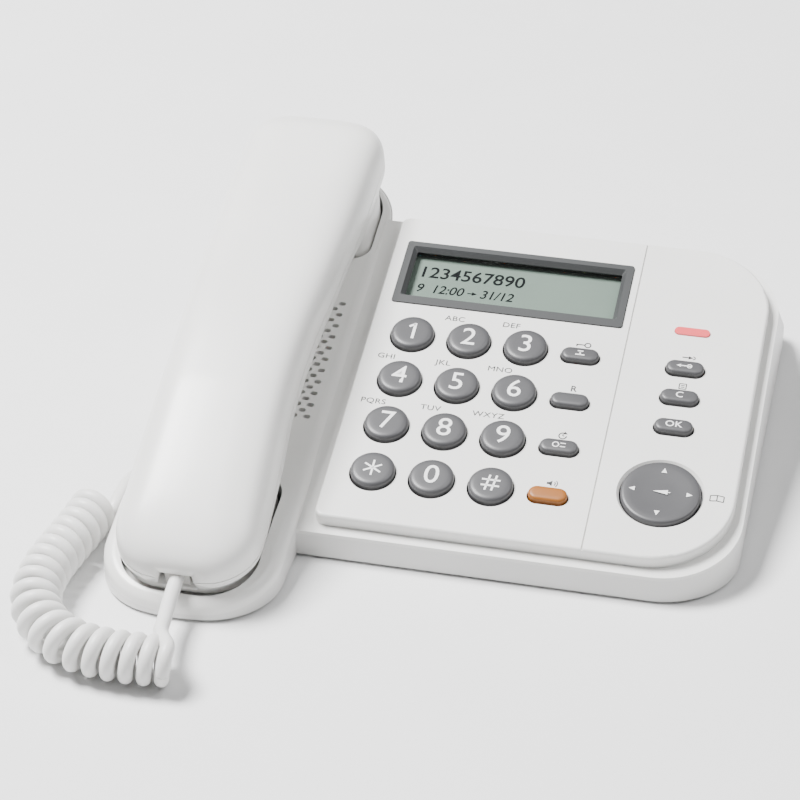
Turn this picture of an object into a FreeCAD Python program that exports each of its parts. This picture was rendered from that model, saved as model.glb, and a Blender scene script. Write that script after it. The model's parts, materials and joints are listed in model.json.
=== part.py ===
import FreeCAD, Part
import math
import os
from FreeCAD import Placement, Rotation, Vector

# Corded desk telephone: sloping key panel on the right, handset cradle on the left.
# Millimetres. X runs to the right, Y to the rear, Z up. The origin is the centre of the
# footprint on the desk. Most of the top is laid out in the panel frame: u to the right from
# the panel's left edge, v up the slope from its front edge, w along the panel's normal.

# ---- overall sizes -------------------------------------------------------------------
WIDTH = 190.0
DEPTH = 196.0
TILT = 13.8
PANEL_X, PANEL_Y, PANEL_Z = -34.5, -57.0, 15.2
PANEL_W, PANEL_D = 126.4, 133.0
PLATE = 4.6
FLANGE = 1.2
SKIN = 2.2
FLOOR_LOW, FLOOR_TOP = 1.0, 3.0
CASE_FRONT = -59.2
CASE_BACK_TOP = 75.2
PARTING = -(PLATE + FLANGE)
CLEAR = 0.4

# ---- cradle --------------------------------------------------------------------------
CRADLE_X = -67.2
CRADLE_HALF = 27.8
DECK_W = -3.2
RIM_W = 1.8
RIM_FRONT_V, RIM_BACK_V = -4.0, 26.0
CRADLE_EDGE = 4.0
EAR_POCKET = {"half": 24.3, "v0": 113.3, "v1": 153.5, "front_r": 7.0, "rear_r": 18.0, "w": -15.6}
MOUTH_POCKET = {"half": 21.6, "v0": -38.3, "v1": 17.0, "front_r": 16.0, "rear_r": 13.0, "z": 5.2}

# ---- keys ----------------------------------------------------------------------------
KEY_U, KEY_V, KEY_PITCH_U, KEY_PITCH_V = 14.5, 78.7, 18.6, 19.8
KEY_R = 7.0
FN_U = 69.6
RIGHT_U = 103.4
OVAL_L, OVAL_W = 12.2, 5.6
KEY_TOP = 2.1
KEY_TRAVEL = 1.5
NAV_V, NAV_R, DISH_R = 26.0, 12.3, 13.6
SEAM_U = 83.2

# ---- handset -------------------------------------------------------------------------
HAND_U = CRADLE_X - PANEL_X
SHELL = 2.0
EAR_CUP = {"half": 23.6, "v0": 114.3, "v1": 152.6, "w": -13.6}
MOUTH_CUP = {"half": 20.9, "v0": -36.8, "v1": 15.6, "z": 6.0}
HAND_SCREWS = [(HAND_U, 36.0), (HAND_U, 95.0)]
SOCKET_W = 6.2
PLUG_W, PLUG_H = 7.6, 5.8
PLUG_FRONT_V, PLUG_BACK_V = -35.6, -20.6

# ---- cord ----------------------------------------------------------------------------
WIRE = 4.5
COIL_OUTER = 16.0
COIL_Z = COIL_OUTER / 2
COIL_ROUTE = [
    (-57.5, -126.8), (-68.3, -128.4), (-80.2, -127.9), (-91.6, -125.2), (-101.3, -118.0),
    (-107.6, -107.6), (-109.2, -95.4), (-107.8, -82.6), (-105.2, -70.2), (-103.9, -54.5),
]
FRONT_RUN = 9.0
FRONT_TAIL_END = [(-66.0, -110.9, 10.5), (-65.1, -118.8, 12.1)]
SIDE_TAIL = [(-98.1, -55.2, 8.0), (-98.0, -41.5, 8.0), (-90.9, -29.5, 8.2), (-90.9, -20.5, 8.2)]
JACK_Y = -15.5
RECESS_Z = (3.6, 13.2)

os.makedirs("parts", exist_ok=True)
PANEL = Placement(Vector(PANEL_X, PANEL_Y, PANEL_Z), Rotation(Vector(1, 0, 0), TILT))
COS = math.cos(math.radians(TILT))
SIN = math.sin(math.radians(TILT))


# ---- helpers -------------------------------------------------------------------------
def on_panel(shape):
    """Moves a shape drawn in (u, v, w) into the telephone's frame."""
    placed = shape.copy()
    placed.Placement = PANEL.multiply(placed.Placement)
    return placed


def rounded_wire(corners, lift=lambda x, y: Vector(x, y, 0)):
    """A closed outline of lines joined by tangent arcs. Each corner is (x, y, radius)."""
    count = len(corners)
    points = [Vector(c[0], c[1], 0) for c in corners]
    spans = []
    for i, (x, y, radius) in enumerate(corners):
        here = points[i]
        back = (points[i - 1] - here).normalize()
        ahead = (points[(i + 1) % count] - here).normalize()
        if radius <= 0:
            spans.append((here, None, here))
            continue
        half = back.getAngle(ahead) / 2
        reach = radius / math.tan(half)
        start = here + back * reach
        end = here + ahead * reach
        middle_way = (back + ahead).normalize()
        middle = here + middle_way * (radius / math.sin(half) - radius)
        spans.append((start, middle, end))
    edges = []
    for i in range(count):
        start, middle, end = spans[i]
        if middle is not None:
            arc = [lift(p.x, p.y) for p in (start, middle, end)]
            edges.append(Part.Arc(*arc).toShape())
        following = spans[(i + 1) % count][0]
        if (following - end).Length > 1e-6:
            edges.append(Part.LineSegment(lift(end.x, end.y), lift(following.x, following.y)).toShape())
    return Part.Wire(edges)


def prism(corners, low, high):
    """A straight-sided solid on a rounded outline, between two heights."""
    wire = rounded_wire(corners, lambda x, y: Vector(x, y, low))
    return Part.Face(wire).extrude(Vector(0, 0, high - low))


def side_prism(corners, left, right):
    """A solid with a side outline in (v, w), running along u."""
    wire = rounded_wire(corners, lambda v, w: Vector(left, v, w))
    return Part.Face(wire).extrude(Vector(right - left, 0, 0))


def box(x0, y0, z0, x1, y1, z1):
    return Part.makeBox(x1 - x0, y1 - y0, z1 - z0, Vector(x0, y0, z0))


def rod(radius, base, top, x, y):
    return Part.makeCylinder(radius, top - base, Vector(x, y, base), Vector(0, 0, 1))


def rect(u0, v0, u1, v1, radius):
    return [(u0, v0, radius), (u1, v0, radius), (u1, v1, radius), (u0, v1, radius)]


def oval(u, v, length, width, low, high):
    """A solid with the outline of a slot with round ends."""
    end = width / 2 - 0.01
    return prism(rect(u - length / 2, v - width / 2, u + length / 2, v + width / 2, end), low, high)


def fuse(shapes):
    shapes = list(shapes)
    return shapes[0].multiFuse(shapes[1:]).removeSplitter()


def cut(shape, tools):
    for tool in tools:
        shape = shape.cut(tool)
    return shape


def rounded(shape, radius, choose):
    """Fillets the edges that choose picks; if the whole set fails, it takes them one by one."""
    edges = [e for e in shape.Edges if choose(e)]
    try:
        done = shape.makeFillet(radius, edges)
        if done.isValid() and done.Volume > 0:
            return done
    except Exception:
        pass
    print("fillet of", radius, "kept its", len(edges), "edges sharp")
    return shape


def height_at(edge, level, slack=0.05):
    box_ = edge.BoundBox
    return abs(box_.ZMin - level) < slack and abs(box_.ZMax - level) < slack


def panel_point(u, v, w):
    """The telephone's (x, y, z) of a point given in (u, v, w)."""
    point = PANEL.multVec(Vector(u, v, w))
    return point.x, point.y, point.z


def save(name, shape):
    solids = shape.Solids
    body = solids[0] if len(solids) == 1 else Part.makeCompound(solids)
    body.exportStep("parts/" + name + ".step")
    print(f"{name:24s} solids {len(solids)}  volume {shape.Volume:10.1f}  valid {shape.isValid()}")


# ---- the case's outer forms ----------------------------------------------------------
def main_form(inset, bottom, top_w):
    """The block under the key panel: upright walls, a rear that leans in towards the panel."""
    left = CRADLE_X
    right = WIDTH / 2 - inset
    front = CASE_FRONT + inset
    back = DEPTH / 2 - inset
    base = [(left, front, 0), (right, front, 25 - inset), (right, back, 8 - inset * 0.5), (left, back, 0)]
    foot_wire = rounded_wire(base, lambda x, y: Vector(x, y, bottom))
    knee_wire = rounded_wire(base, lambda x, y: Vector(x, y, 6.0 + (y - CASE_FRONT) * 0.019))
    back_top = (CASE_BACK_TOP - inset - PANEL_Y) / COS
    front_top = (front - PANEL_Y) / COS
    top = [(left, front_top, 0), (right, front_top, 25 - inset), (right, back_top, 26 - inset), (left, back_top, 0)]
    high_wire = rounded_wire(top, lambda x, s: Vector(x, PANEL_Y + s * COS, PANEL_Z + s * SIN + top_w / COS))
    return Part.makeLoft([foot_wire, knee_wire, high_wire], True, True)


def cradle_outline(inset):
    """Plan of the cradle: a rounded nose in front, two round corners at the rear."""
    left = CRADLE_X - CRADLE_HALF + inset
    right = CRADLE_X + CRADLE_HALF - inset
    front = -DEPTH / 2 + inset
    back = DEPTH / 2 - inset
    return [
        (left, front + 3.5, 22 - inset), (CRADLE_X, front - 0.6, 52 - inset), (right, front + 3.5, 22 - inset),
        (right, back, 24 - inset), (left, back, 24 - inset),
    ]


def cradle_profile(drop, deck=None, rim=None):
    """Side outline, in (v, w), of what lies under the deck; drop lowers it."""
    deck = DECK_W if deck is None else deck
    rim = RIM_W if rim is None else rim
    return [
        (-70, rim - drop, 0), (RIM_FRONT_V, rim - drop, 70), (RIM_BACK_V, deck - drop, 70),
        (190, deck - drop, 0), (190, -90, 0), (-70, -90, 0),
    ]


def cradle_form(inset, bottom, drop):
    """The cradle's block, from a level up to its deck."""
    block = prism(cradle_outline(inset), bottom, 90)
    under = on_panel(side_prism(cradle_profile(drop), -80, 40))
    return block.common(under)


def above_parting():
    """All the space above the joint between the two case halves, at the cradle."""
    under = side_prism(cradle_profile(0, PARTING, RIM_W - 4.2), -80, 40)
    return on_panel(box(-80, -70, -90, 40, 190, 120).cut(under))


def tub(pocket, grow, low_extra):
    """The solid that fills a cradle pocket, grown on all sides."""
    half = pocket["half"] + grow
    corners = [
        (HAND_U - half, pocket["v0"] - grow, pocket["front_r"] + grow),
        (HAND_U + half, pocket["v0"] - grow, pocket["front_r"] + grow),
        (HAND_U + half, pocket["v1"] + grow, pocket["rear_r"] + grow),
        (HAND_U - half, pocket["v1"] + grow, pocket["rear_r"] + grow),
    ]
    if "w" in pocket:
        return on_panel(prism(corners, pocket["w"] - low_extra, 12))
    solid = on_panel(prism(corners, -40, 12))
    return solid.common(box(-200, -200, pocket["z"] - low_extra, 200, 200, 100))


# ---- key and button places -----------------------------------------------------------
def key_places():
    """Name and panel place of every round key."""
    names = [["key_1", "key_2", "key_3"], ["key_4", "key_5", "key_6"],
             ["key_7", "key_8", "key_9"], ["key_star", "key_0", "key_hash"]]
    for row, group in enumerate(names):
        for column, name in enumerate(group):
            yield name, KEY_U + column * KEY_PITCH_U, KEY_V - row * KEY_PITCH_V


def oval_places():
    """Name and panel place of every oval key."""
    for row, name in enumerate(["dial_mode_key", "flash_key", "redial_key", "speaker_key"]):
        yield name, FN_U, KEY_V - 0.6 - row * KEY_PITCH_V
    for name, v in [("log_key", 78.0), ("clear_key", 65.4), ("ok_key", 52.8)]:
        yield name, RIGHT_U, v


BEZEL = (4.2, 92.9, 80.8, 121.5)
WINDOW = (8.0, 97.7, 77.0, 117.9)
LAMP = (RIGHT_U, 94.9)
PLUNGER = (HAND_U, 103.0)
BATTERY_BAY = (18.0, 10.0, 78.0, 68.0)
CELL_X, CELL_PITCH = 31.6, 16.4
FEET = [(-80, -72), (80, -44), (80, 84), (-80, 82)]
SCREWS = [(-36, -48), (88, -30), (88, 62), (-85, 60)]
RINGER = (60.0, 89.0)


def ringer_slot(grow):
    return box(RINGER[0] - 7 - grow, 80, 4.6 - grow, RINGER[0] + 7 + grow, 110, 8.6 + grow)


# ---- case halves ---------------------------------------------------------------------
def socket_recess(grow):
    """The side recess where the curly cord's plug goes in, open to the left."""
    outside = -110 if grow == 0 else -95
    low, high = RECESS_Z[0] - grow, RECESS_Z[1] + grow
    lead_in = box(outside, -44.0 - grow, low, -91.4 + grow, JACK_Y, high)
    deep = box(outside, -36.0 - grow, low, -86.4 + grow, JACK_Y + 8.3 + grow, high)
    return fuse([lead_in, deep])


def spring_post():
    u, v = PLUNGER
    post = on_panel(rod(3.4, -45, -23.6, u, v))
    return post.common(box(-100, -100, FLOOR_TOP - 0.5, 100, 100, 60))


def make_lower_case():
    outer = fuse([main_form(0, FLOOR_LOW, PARTING), cradle_form(0, FLOOR_LOW, 0)])
    outer = outer.cut(above_parting())
    inner = fuse([main_form(SKIN, FLOOR_TOP, PARTING + 0.01), cradle_form(SKIN, FLOOR_TOP, 0)])
    shell = outer.cut(inner)
    limits = fuse([main_form(0.5, FLOOR_LOW, PARTING), cradle_form(0.5, FLOOR_LOW, 3.0)])
    extras = [socket_recess(1.6).common(limits), spring_post()]
    for x, y in SCREWS:
        extras.append(rod(3.4, FLOOR_TOP - 0.5, 7.5, x, y))
    x0, y0, x1, y1 = BATTERY_BAY
    extras.append(box(x0 - 1.8, y0 - 1.8, FLOOR_LOW, x1 + 1.8, y1 + 1.8, 18.3))
    shell = fuse([shell] + extras)
    holes = [socket_recess(0)]
    holes.append(box(x0, y0, FLOOR_LOW - 1, x1, y1, 16.5))
    holes.append(box(x0 - 3.0, y0 - 3.0, FLOOR_LOW - 1, x1 + 3.0, y1, FLOOR_LOW + 1.4))
    for x, y in SCREWS:
        holes.append(rod(1.7, -1, 9, x, y))
        holes.append(rod(3.0, -1, 2.4, x, y))
    for x, y in FEET:
        holes.append(rod(6.2, -1, 1.8, x, y))
    holes.append(box(-28.8, 76, FLOOR_TOP, -11.2, 110, 14.9))
    holes.append(ringer_slot(CLEAR))
    return cut(shell, holes)


def panel_outline(inset):
    big = 26 - inset
    return [(inset, inset, 3), (PANEL_W - inset, inset, big), (PANEL_W - inset, PANEL_D - inset, big),
            (inset, PANEL_D - inset, 3)]


def make_upper_case():
    plate = on_panel(prism(panel_outline(0), -PLATE - 0.5, 0))
    plate = rounded(plate, 1.0, lambda e: abs(PANEL.inverse().multVec(e.CenterOfMass).z) < 0.02)
    flange = main_form(0, FLOOR_LOW, -PLATE).cut(main_form(-1, FLOOR_LOW - 1, PARTING))
    cradle = cradle_form(0, FLOOR_LOW, 0)
    cradle = rounded(cradle, CRADLE_EDGE, lambda e: e.BoundBox.XLength < 50 and e.BoundBox.ZMax > 7.05
                     and PANEL.inverse().multVec(e.CenterOfMass).z > DECK_W - 0.6)
    hollow = on_panel(prism(panel_outline(SKIN), PARTING - 2, -SKIN))
    plate = plate.cut(hollow)
    skin = cradle.common(above_parting()).cut(cradle_form(SKIN, FLOOR_LOW - 1, SKIN))
    under_cradle = cradle_form(0, FLOOR_LOW, 0).cut(above_parting())
    flange = cut(flange, [hollow, box(-100, -100, 0, CRADLE_X + CRADLE_HALF - SKIN, 100, 60), under_cradle])
    room = fuse([cradle_form(SKIN + CLEAR, FLOOR_TOP + CLEAR, 0), main_form(SKIN + CLEAR, FLOOR_TOP + CLEAR, -2.3)])
    tubs = [tub(EAR_POCKET, 1.8, 1.8).common(cradle_form(1.0, FLOOR_TOP + CLEAR, 0.5)).common(room),
            tub(MOUTH_POCKET, 1.8, 1.8).common(cradle_form(1.0, FLOOR_TOP + CLEAR, 0.5)).common(room)]
    shell = fuse([skin, flange, plate] + tubs)
    holes = [tub(EAR_POCKET, 0, 0), tub(MOUTH_POCKET, 0, 0)]
    for name, u, v in key_places():
        holes.append(on_panel(rod(KEY_R + CLEAR, -10, 5, u, v)))
    for name, u, v in oval_places():
        holes.append(on_panel(oval(u, v, OVAL_L + 2 * CLEAR, OVAL_W + 2 * CLEAR, -10, 5)))
    holes.append(on_panel(rod(NAV_R + 0.5, -10, 5, RIGHT_U, NAV_V)))
    dish = Part.makeCone(NAV_R + 0.5, DISH_R, 1.0, Vector(RIGHT_U, NAV_V, -1.0), Vector(0, 0, 1))
    holes.append(on_panel(dish))
    holes.append(on_panel(prism(rect(BEZEL[0], BEZEL[1], BEZEL[2], BEZEL[3], 1.2), -1.4, 5)))
    holes.append(on_panel(prism(rect(WINDOW[0] - 1.5, WINDOW[1] - 1.5, WINDOW[2] + 1.5, WINDOW[3] + 1.5, 0.5), -10, 5)))
    holes.append(on_panel(oval(LAMP[0], LAMP[1], 11.6, 3.4, -10, 5)))
    holes.append(on_panel(box(SEAM_U - 0.25, -1, -0.6, SEAM_U + 0.25, PANEL_D + 1, 1)))
    for column in range(5):
        rows = 11 - column % 2
        for row in range(rows):
            v = 41.6 + (column % 2) * 2.53 + row * 5.07
            u = -12.2 - column * 2.1
            holes.append(on_panel(oval(u, v, 2.4, 1.6, -12, 0)))
    u, v = PLUNGER
    holes.append(on_panel(prism(rect(u - 4.4, v - 3.4, u + 4.4, v + 3.4, 1.0), -12, 5)))
    return cut(shell, holes)


# ---- what the panel carries ----------------------------------------------------------
def make_bezel():
    u0, v0, u1, v1 = BEZEL
    gap = 0.15
    frame = prism(rect(u0 + gap, v0 + gap, u1 - gap, v1 - gap, 1.0), -1.4, 0.5)
    inside = prism(rect(WINDOW[0], WINDOW[1], WINDOW[2], WINDOW[3], 0.4), -2, 2)
    wide = Part.makeLoft([
        rounded_wire(rect(WINDOW[0], WINDOW[1], WINDOW[2], WINDOW[3], 0.4), lambda x, y: Vector(x, y, -1.0)),
        rounded_wire(rect(WINDOW[0] - 1.4, WINDOW[1] - 1.4, WINDOW[2] + 1.4, WINDOW[3] + 1.4, 0.8),
                     lambda x, y: Vector(x, y, 0.51)),
    ], True, True)
    return on_panel(frame.cut(inside).cut(wide))


def make_window():
    u0, v0, u1, v1 = WINDOW
    return on_panel(box(u0 - 1.2, v0 - 1.2, -2.7, u1 + 1.2, v1 + 1.2, -1.5))


def make_lcd():
    u0, v0, u1, v1 = WINDOW
    return on_panel(box(u0 - 1.0, v0 - 1.0, -5.4, u1 + 1.0, v1 + 1.0, -3.6))


def make_board():
    board = prism([(7, 8, 2), (PANEL_W - 7, 8, 22), (PANEL_W - 7, 124, 22), (7, 124, 2)], -12.2, -10.6)
    return on_panel(board)


def make_mat():
    mat = prism([(6, 9, 2), (PANEL_W - 8, 9, 22), (PANEL_W - 8, 86, 3), (6, 86, 2)], -10.5, -9.5)
    places = [(u, v, 3.6) for name, u, v in key_places()]
    places += [(u, v, 2.6) for name, u, v in oval_places()]
    places += [(RIGHT_U + dx, NAV_V + dy, 2.0) for dx, dy in ((7.5, 0), (-7.5, 0), (0, 7.5), (0, -7.5))]
    domes = []
    for u, v, r in places:
        domes.append(Part.makeCone(r, r * 0.7, 2.4, Vector(u, v, -9.5), Vector(0, 0, 1)))
    return on_panel(fuse([mat] + domes))


def make_round_key(u, v):
    cap = rod(KEY_R, -3.0, KEY_TOP, u, v)
    cap = rounded(cap, 1.1, lambda e: height_at(e, KEY_TOP))
    flange = rod(KEY_R + 1.3, -3.6, -2.7, u, v)
    stem = rod(2.6, -5.3, -3.5, u, v)
    return on_panel(fuse([cap, flange, stem]))


def make_oval_key(u, v):
    cap = oval(u, v, OVAL_L, OVAL_W, -3.0, KEY_TOP - 0.3)
    cap = rounded(cap, 0.9, lambda e: height_at(e, KEY_TOP - 0.3))
    flange = oval(u, v, OVAL_L + 2.4, OVAL_W + 2.4, -3.6, -2.7)
    stem = rod(1.9, -5.3, -3.5, u, v)
    return on_panel(fuse([cap, flange, stem]))


def make_navigator():
    """The rocking four-way disc, carried on its pivot ring."""
    disc = rod(NAV_R, -1.6, 1.2, RIGHT_U, NAV_V)
    disc = rounded(disc, 0.8, lambda e: height_at(e, 1.2))
    neck = rod(2.0, -5.6, -1.5, RIGHT_U, NAV_V)
    studs = []
    for dx, dy in ((7.5, 0), (-7.5, 0), (0, 7.5), (0, -7.5)):
        studs.append(rod(1.2, -5.6, -1.5, RIGHT_U + dx, NAV_V + dy))
    return on_panel(fuse([disc, neck] + studs))


def make_pivot():
    ring = rod(4.6, -8.4, -6.4, RIGHT_U, NAV_V).cut(rod(2.6, -9, -5, RIGHT_U, NAV_V))
    return on_panel(ring)


def make_lamp():
    cap = oval(LAMP[0], LAMP[1], 11.3, 3.1, -2.2, 0.5)
    flange = oval(LAMP[0], LAMP[1], 13.0, 5.0, -3.2, -2.25)
    return on_panel(fuse([cap, flange]))


# ---- inside the base -----------------------------------------------------------------
def make_speaker():
    cone = Part.makeCone(24.0, 9.0, 7.0, Vector(HAND_U + 0.5, 66, -7.4), Vector(0, 0, -1))
    ring = rod(24.0, -7.5, -5.9, HAND_U + 0.5, 66)
    magnet = rod(10.0, -19.5, -14.3, HAND_U + 0.5, 66)
    return on_panel(fuse([cone, ring, magnet]))


def make_ballast():
    return box(-20, 34, FLOOR_TOP, 10, 78, 9.0)


def make_feet():
    return Part.makeCompound([fuse([rod(5.9, 0, 1.8, x, y)]) for x, y in FEET])


def make_screws():
    screws = []
    for x, y in SCREWS:
        head = rod(2.7, 1.2, 2.4, x, y).cut(box(x - 1.8, y - 0.3, 0, x + 1.8, y + 0.3, 1.8))
        screws.append(fuse([head, rod(1.4, 2.4, 9.6, x, y)]))
    return Part.makeCompound(screws)


def make_hook_plunger():
    u, v = PLUNGER
    body = prism(rect(u - 4.0, v - 3.0, u + 4.0, v + 3.0, 0.8), -13.0, 5.2)
    body = rounded(body, 1.2, lambda e: height_at(e, 5.2))
    foot = box(u - 6, v - 4.4, -14.2, u + 6, v + 4.4, -12.8)
    return on_panel(fuse([body, foot]))


def make_hook_spring():
    u, v = PLUNGER
    coil = Part.makeHelix(1.6, 8.0, 2.4)
    section = Part.Wire(Part.makeCircle(0.35, Vector(2.4, 0, 0), Vector(0, 1, 0)))
    spring = coil.makePipeShell([section], True, True)
    spring.translate(Vector(u, v, -23.2))
    return on_panel(spring)


def make_line_jack():
    body = box(-28.5, 79.0, FLOOR_TOP + 0.1, -11.5, 93.4, 14.6)
    mouth = box(-25.5, 81.0, 4.9, -14.5, 100, 11.9)
    return body.cut(mouth)


def make_cord_jack():
    x, y, z = SIDE_TAIL[-1]
    body = box(-94.6, JACK_Y, 3.7, -86.6, JACK_Y + 8.1, 13.0)
    mouth = box(x - 3.1, JACK_Y - 1, z - 4.0, x + 3.1, JACK_Y + 7.2, z + 4.0)
    return body.cut(mouth)


def make_batteries():
    cells = []
    y0 = BATTERY_BAY[1] + 3.0
    for i in range(3):
        x = CELL_X + i * CELL_PITCH
        can = Part.makeCylinder(7.1, 49.0, Vector(x, y0, 9.2), Vector(0, 1, 0))
        tip = Part.makeCylinder(2.6, 1.2, Vector(x, y0 + 49.0, 9.2), Vector(0, 1, 0))
        cells.append(fuse([can, tip]))
    return Part.makeCompound(cells)


def make_contacts():
    plates = []
    near, far = BATTERY_BAY[1] + 0.1, BATTERY_BAY[3] - 0.7
    for i in range(3):
        x = CELL_X + i * CELL_PITCH
        plates.append(box(x - 5, far, 5, x + 5, far + 0.6, 14))
        plates.append(box(x - 5, near, 5, x + 5, near + 0.6, 14))
    return Part.makeCompound(plates)


def make_battery_cover():
    x0, y0, x1, y1 = BATTERY_BAY
    door = box(x0 - 2.6, y0 - 2.6, FLOOR_LOW, x1 + 2.6, y1 - 0.4, FLOOR_LOW + 1.0)
    grooves = [box(x0 + 22, y1 - 8 - 2.4 * i, 0, x1 - 22, y1 - 7 - 2.4 * i, FLOOR_LOW + 0.4) for i in range(4)]
    return cut(door, grooves)


def make_ringer_switch():
    x, y = RINGER
    knob = box(x - 2.2, y + 1.4, 5.0, x + 2.2, y + 8.6, 8.2)
    foot = box(x - 4.5, y + 1.4, 3.7, x + 4.5, y + 3.0, 9.6)
    return fuse([knob, foot]).translated(Vector(-3.5, 0, 0))


# ---- handset -------------------------------------------------------------------------
CROWN = [(-31.5, 15.0), (-16.0, 21.6), (5.0, 26.4), (26.0, 30.2), (50.0, 31.6), (85.0, 29.2), (111.0, 27.0),
         (130.0, 26.0), (145.0, 24.6), (153.5, 21.2), (159.0, 15.6)]


def handset_side(inset):
    """Side outline of the handset without its cups, in (v, w)."""
    crown = [Vector(0, v + (inset if v < 0 else -inset) * (1 if abs(v - 60) > 88 else 0), w - inset)
             for v, w in CROWN]
    nose = Vector(0, -37.2 + inset, 7.0)
    tail = Vector(0, 161.0 - inset, 9.0)
    top = Part.BSplineCurve()
    top.interpolate([nose] + crown + [tail])
    low = [nose, Vector(0, -36.6 + inset, 2.9 + inset), Vector(0, 8, 2.9 + inset), Vector(0, 28, 8.4 + inset),
           Vector(0, 100, 8.4 + inset), Vector(0, 112, 4.0 + inset), Vector(0, 156, 4.0 + inset), tail]
    edges = [top.toShape()]
    edges += [Part.LineSegment(low[i], low[i + 1]).toShape() for i in range(len(low) - 1)]
    return Part.Wire(Part.__sortEdges__(edges))


def handset_plan(inset):
    nose, waist, ear = 22.4 - inset, 20.8 - inset, 24.0 - inset
    front, back = -37.4 + inset, 161.2 - inset
    return [
        (HAND_U - nose, front + 1.5, 17 - inset), (HAND_U, front - 0.4, 70 - 9 * inset), (HAND_U + nose, front + 1.5, 17 - inset),
        (HAND_U + waist, 30, 200), (HAND_U + ear, 120, 200),
        (HAND_U + ear, back - 1.0, 17 - inset), (HAND_U, back + 0.3, 90 - 9 * inset), (HAND_U - ear, back - 1.0, 17 - inset),
        (HAND_U - ear, 120, 200), (HAND_U - waist, 30, 200),
    ]


def handset_body(inset):
    side = Part.Face(handset_side(inset)).extrude(Vector(70, 0, 0))
    side.translate(Vector(HAND_U - 35, 0, 0))
    return side.common(prism(handset_plan(inset), -30, 60))


def cup(spec, inset, top):
    """The part of an end cup that reaches down into its pocket, in (u, v, w)."""
    half = spec["half"] - inset
    ear = "w" in spec
    front_r = (6.5 if ear else 15.5) - inset * 0.5
    rear_r = (17.5 if ear else 12.5) - inset * 0.5
    corners = [
        (HAND_U - half, spec["v0"] + inset, front_r), (HAND_U + half, spec["v0"] + inset, front_r),
        (HAND_U + half, spec["v1"] - inset, rear_r), (HAND_U - half, spec["v1"] - inset, rear_r),
    ]
    if ear:
        return prism(corners, spec["w"] + inset, top)
    solid = prism(corners, -40, top)
    floor = box(-200, -200, -100, 200, 200, spec["z"] + inset)
    placed = on_panel(solid).cut(floor)
    placed.Placement = PANEL.inverse().multiply(placed.Placement)
    return placed


def handset_parting():
    """The space above the joint between the handset's two shells."""
    line = [(-60, 9.2, 0), (-17, 9.8, 60), (28, 17.0, 90), (60, 17.6, 90), (112, 12.6, 90), (190, 10.5, 0),
            (190, 80, 0), (-60, 80, 0)]
    return side_prism(line, HAND_U - 40, HAND_U + 40)


def notch():
    """The opening in the nose that the cord's plug goes through."""
    half_top, half_low = 5.0, 6.2
    face = Part.Face(Part.makePolygon([
        Vector(HAND_U - half_low, -45, 2.0), Vector(HAND_U + half_low, -45, 2.0),
        Vector(HAND_U + half_top, -45, 10.2), Vector(HAND_U - half_top, -45, 10.2),
        Vector(HAND_U - half_low, -45, 2.0),
    ]))
    return face.extrude(Vector(0, 12.6, 0))


def make_handset_shells():
    outer = handset_body(0)
    top_edges = lambda e: e.CenterOfMass.z > 13.5 and e.Length > 8
    outer = rounded(outer, 8.0, top_edges)
    inner = handset_body(SHELL)
    cups = [cup(EAR_CUP, 0, 9), cup(MOUTH_CUP, 0, 7.5)]
    hollow_cups = [cup(EAR_CUP, SHELL, 8.5), cup(MOUTH_CUP, SHELL, 7.0)]
    upper_space = handset_parting()
    top = outer.common(upper_space).cut(inner)
    bottom = fuse([outer.cut(upper_space)] + cups)
    bottom = cut(bottom, [inner] + hollow_cups)
    bottom = bottom.cut(upper_space)
    holes = []
    for ring, count in ((0, 1), (4.5, 6), (9.0, 12)):
        for i in range(count):
            angle = 2 * math.pi * i / count
            holes.append(rod(0.9, -20, -10, HAND_U + ring * math.cos(angle), 133 + ring * math.sin(angle)))
    for u, v in HAND_SCREWS:
        holes.append(rod(1.5, 5, 12, u, v))
        holes.append(rod(2.7, 5, 9.6, u, v))
    bottom = cut(bottom, holes)
    placed = on_panel(bottom)
    mic = [Part.makeCylinder(0.8, 6.5, Vector(CRADLE_X + dx, -66 + dy, 3), Vector(0, 0, 1))
           for dx, dy in ((0, 0), (3.2, 0), (-3.2, 0), (0, 3.2), (0, -3.2))]
    placed = cut(placed, mic + [on_panel(notch())])
    return on_panel(top.cut(notch())), placed


def make_earpiece():
    cap = rod(16.4, -11.3, -9.8, HAND_U, 133)
    can = rod(14.5, -9.9, -5.0, HAND_U, 133)
    return on_panel(fuse([cap, can]))


def make_microphone():
    return Part.makeCylinder(5.0, 3.2, Vector(CRADLE_X, -66, 8.4), Vector(0, 0, 1))


def make_handset_weight():
    return on_panel(prism(rect(HAND_U - 10, 42, HAND_U + 10, 89, 2), 10.8, 15.2))


def make_handset_jack():
    body = box(HAND_U - 6.3, -32.2, SOCKET_W - 3.9, HAND_U + 6.3, -18.0, SOCKET_W + 4.0)
    mouth = box(HAND_U - 3.9, -34, SOCKET_W - 3.0, HAND_U + 3.9, PLUG_BACK_V + 0.4, SOCKET_W + 3.0)
    return on_panel(body.cut(mouth))


def make_handset_plug():
    half, rise = PLUG_W / 2, PLUG_H / 2
    body = box(HAND_U - half, PLUG_FRONT_V, SOCKET_W - rise, HAND_U + half, PLUG_BACK_V, SOCKET_W + rise)
    return on_panel(body)


def make_handset_screws():
    screws = [fuse([rod(2.4, 8.5, 9.6, u, v), rod(1.2, 9.5, 18.0, u, v)]) for u, v in HAND_SCREWS]
    return Part.makeCompound([on_panel(s) for s in screws])


def make_base_plug():
    x, y, z = SIDE_TAIL[-1]
    return box(x - PLUG_H / 2, y, z - PLUG_W / 2, x + PLUG_H / 2, JACK_Y + 7.0, z + PLUG_W / 2)


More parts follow.
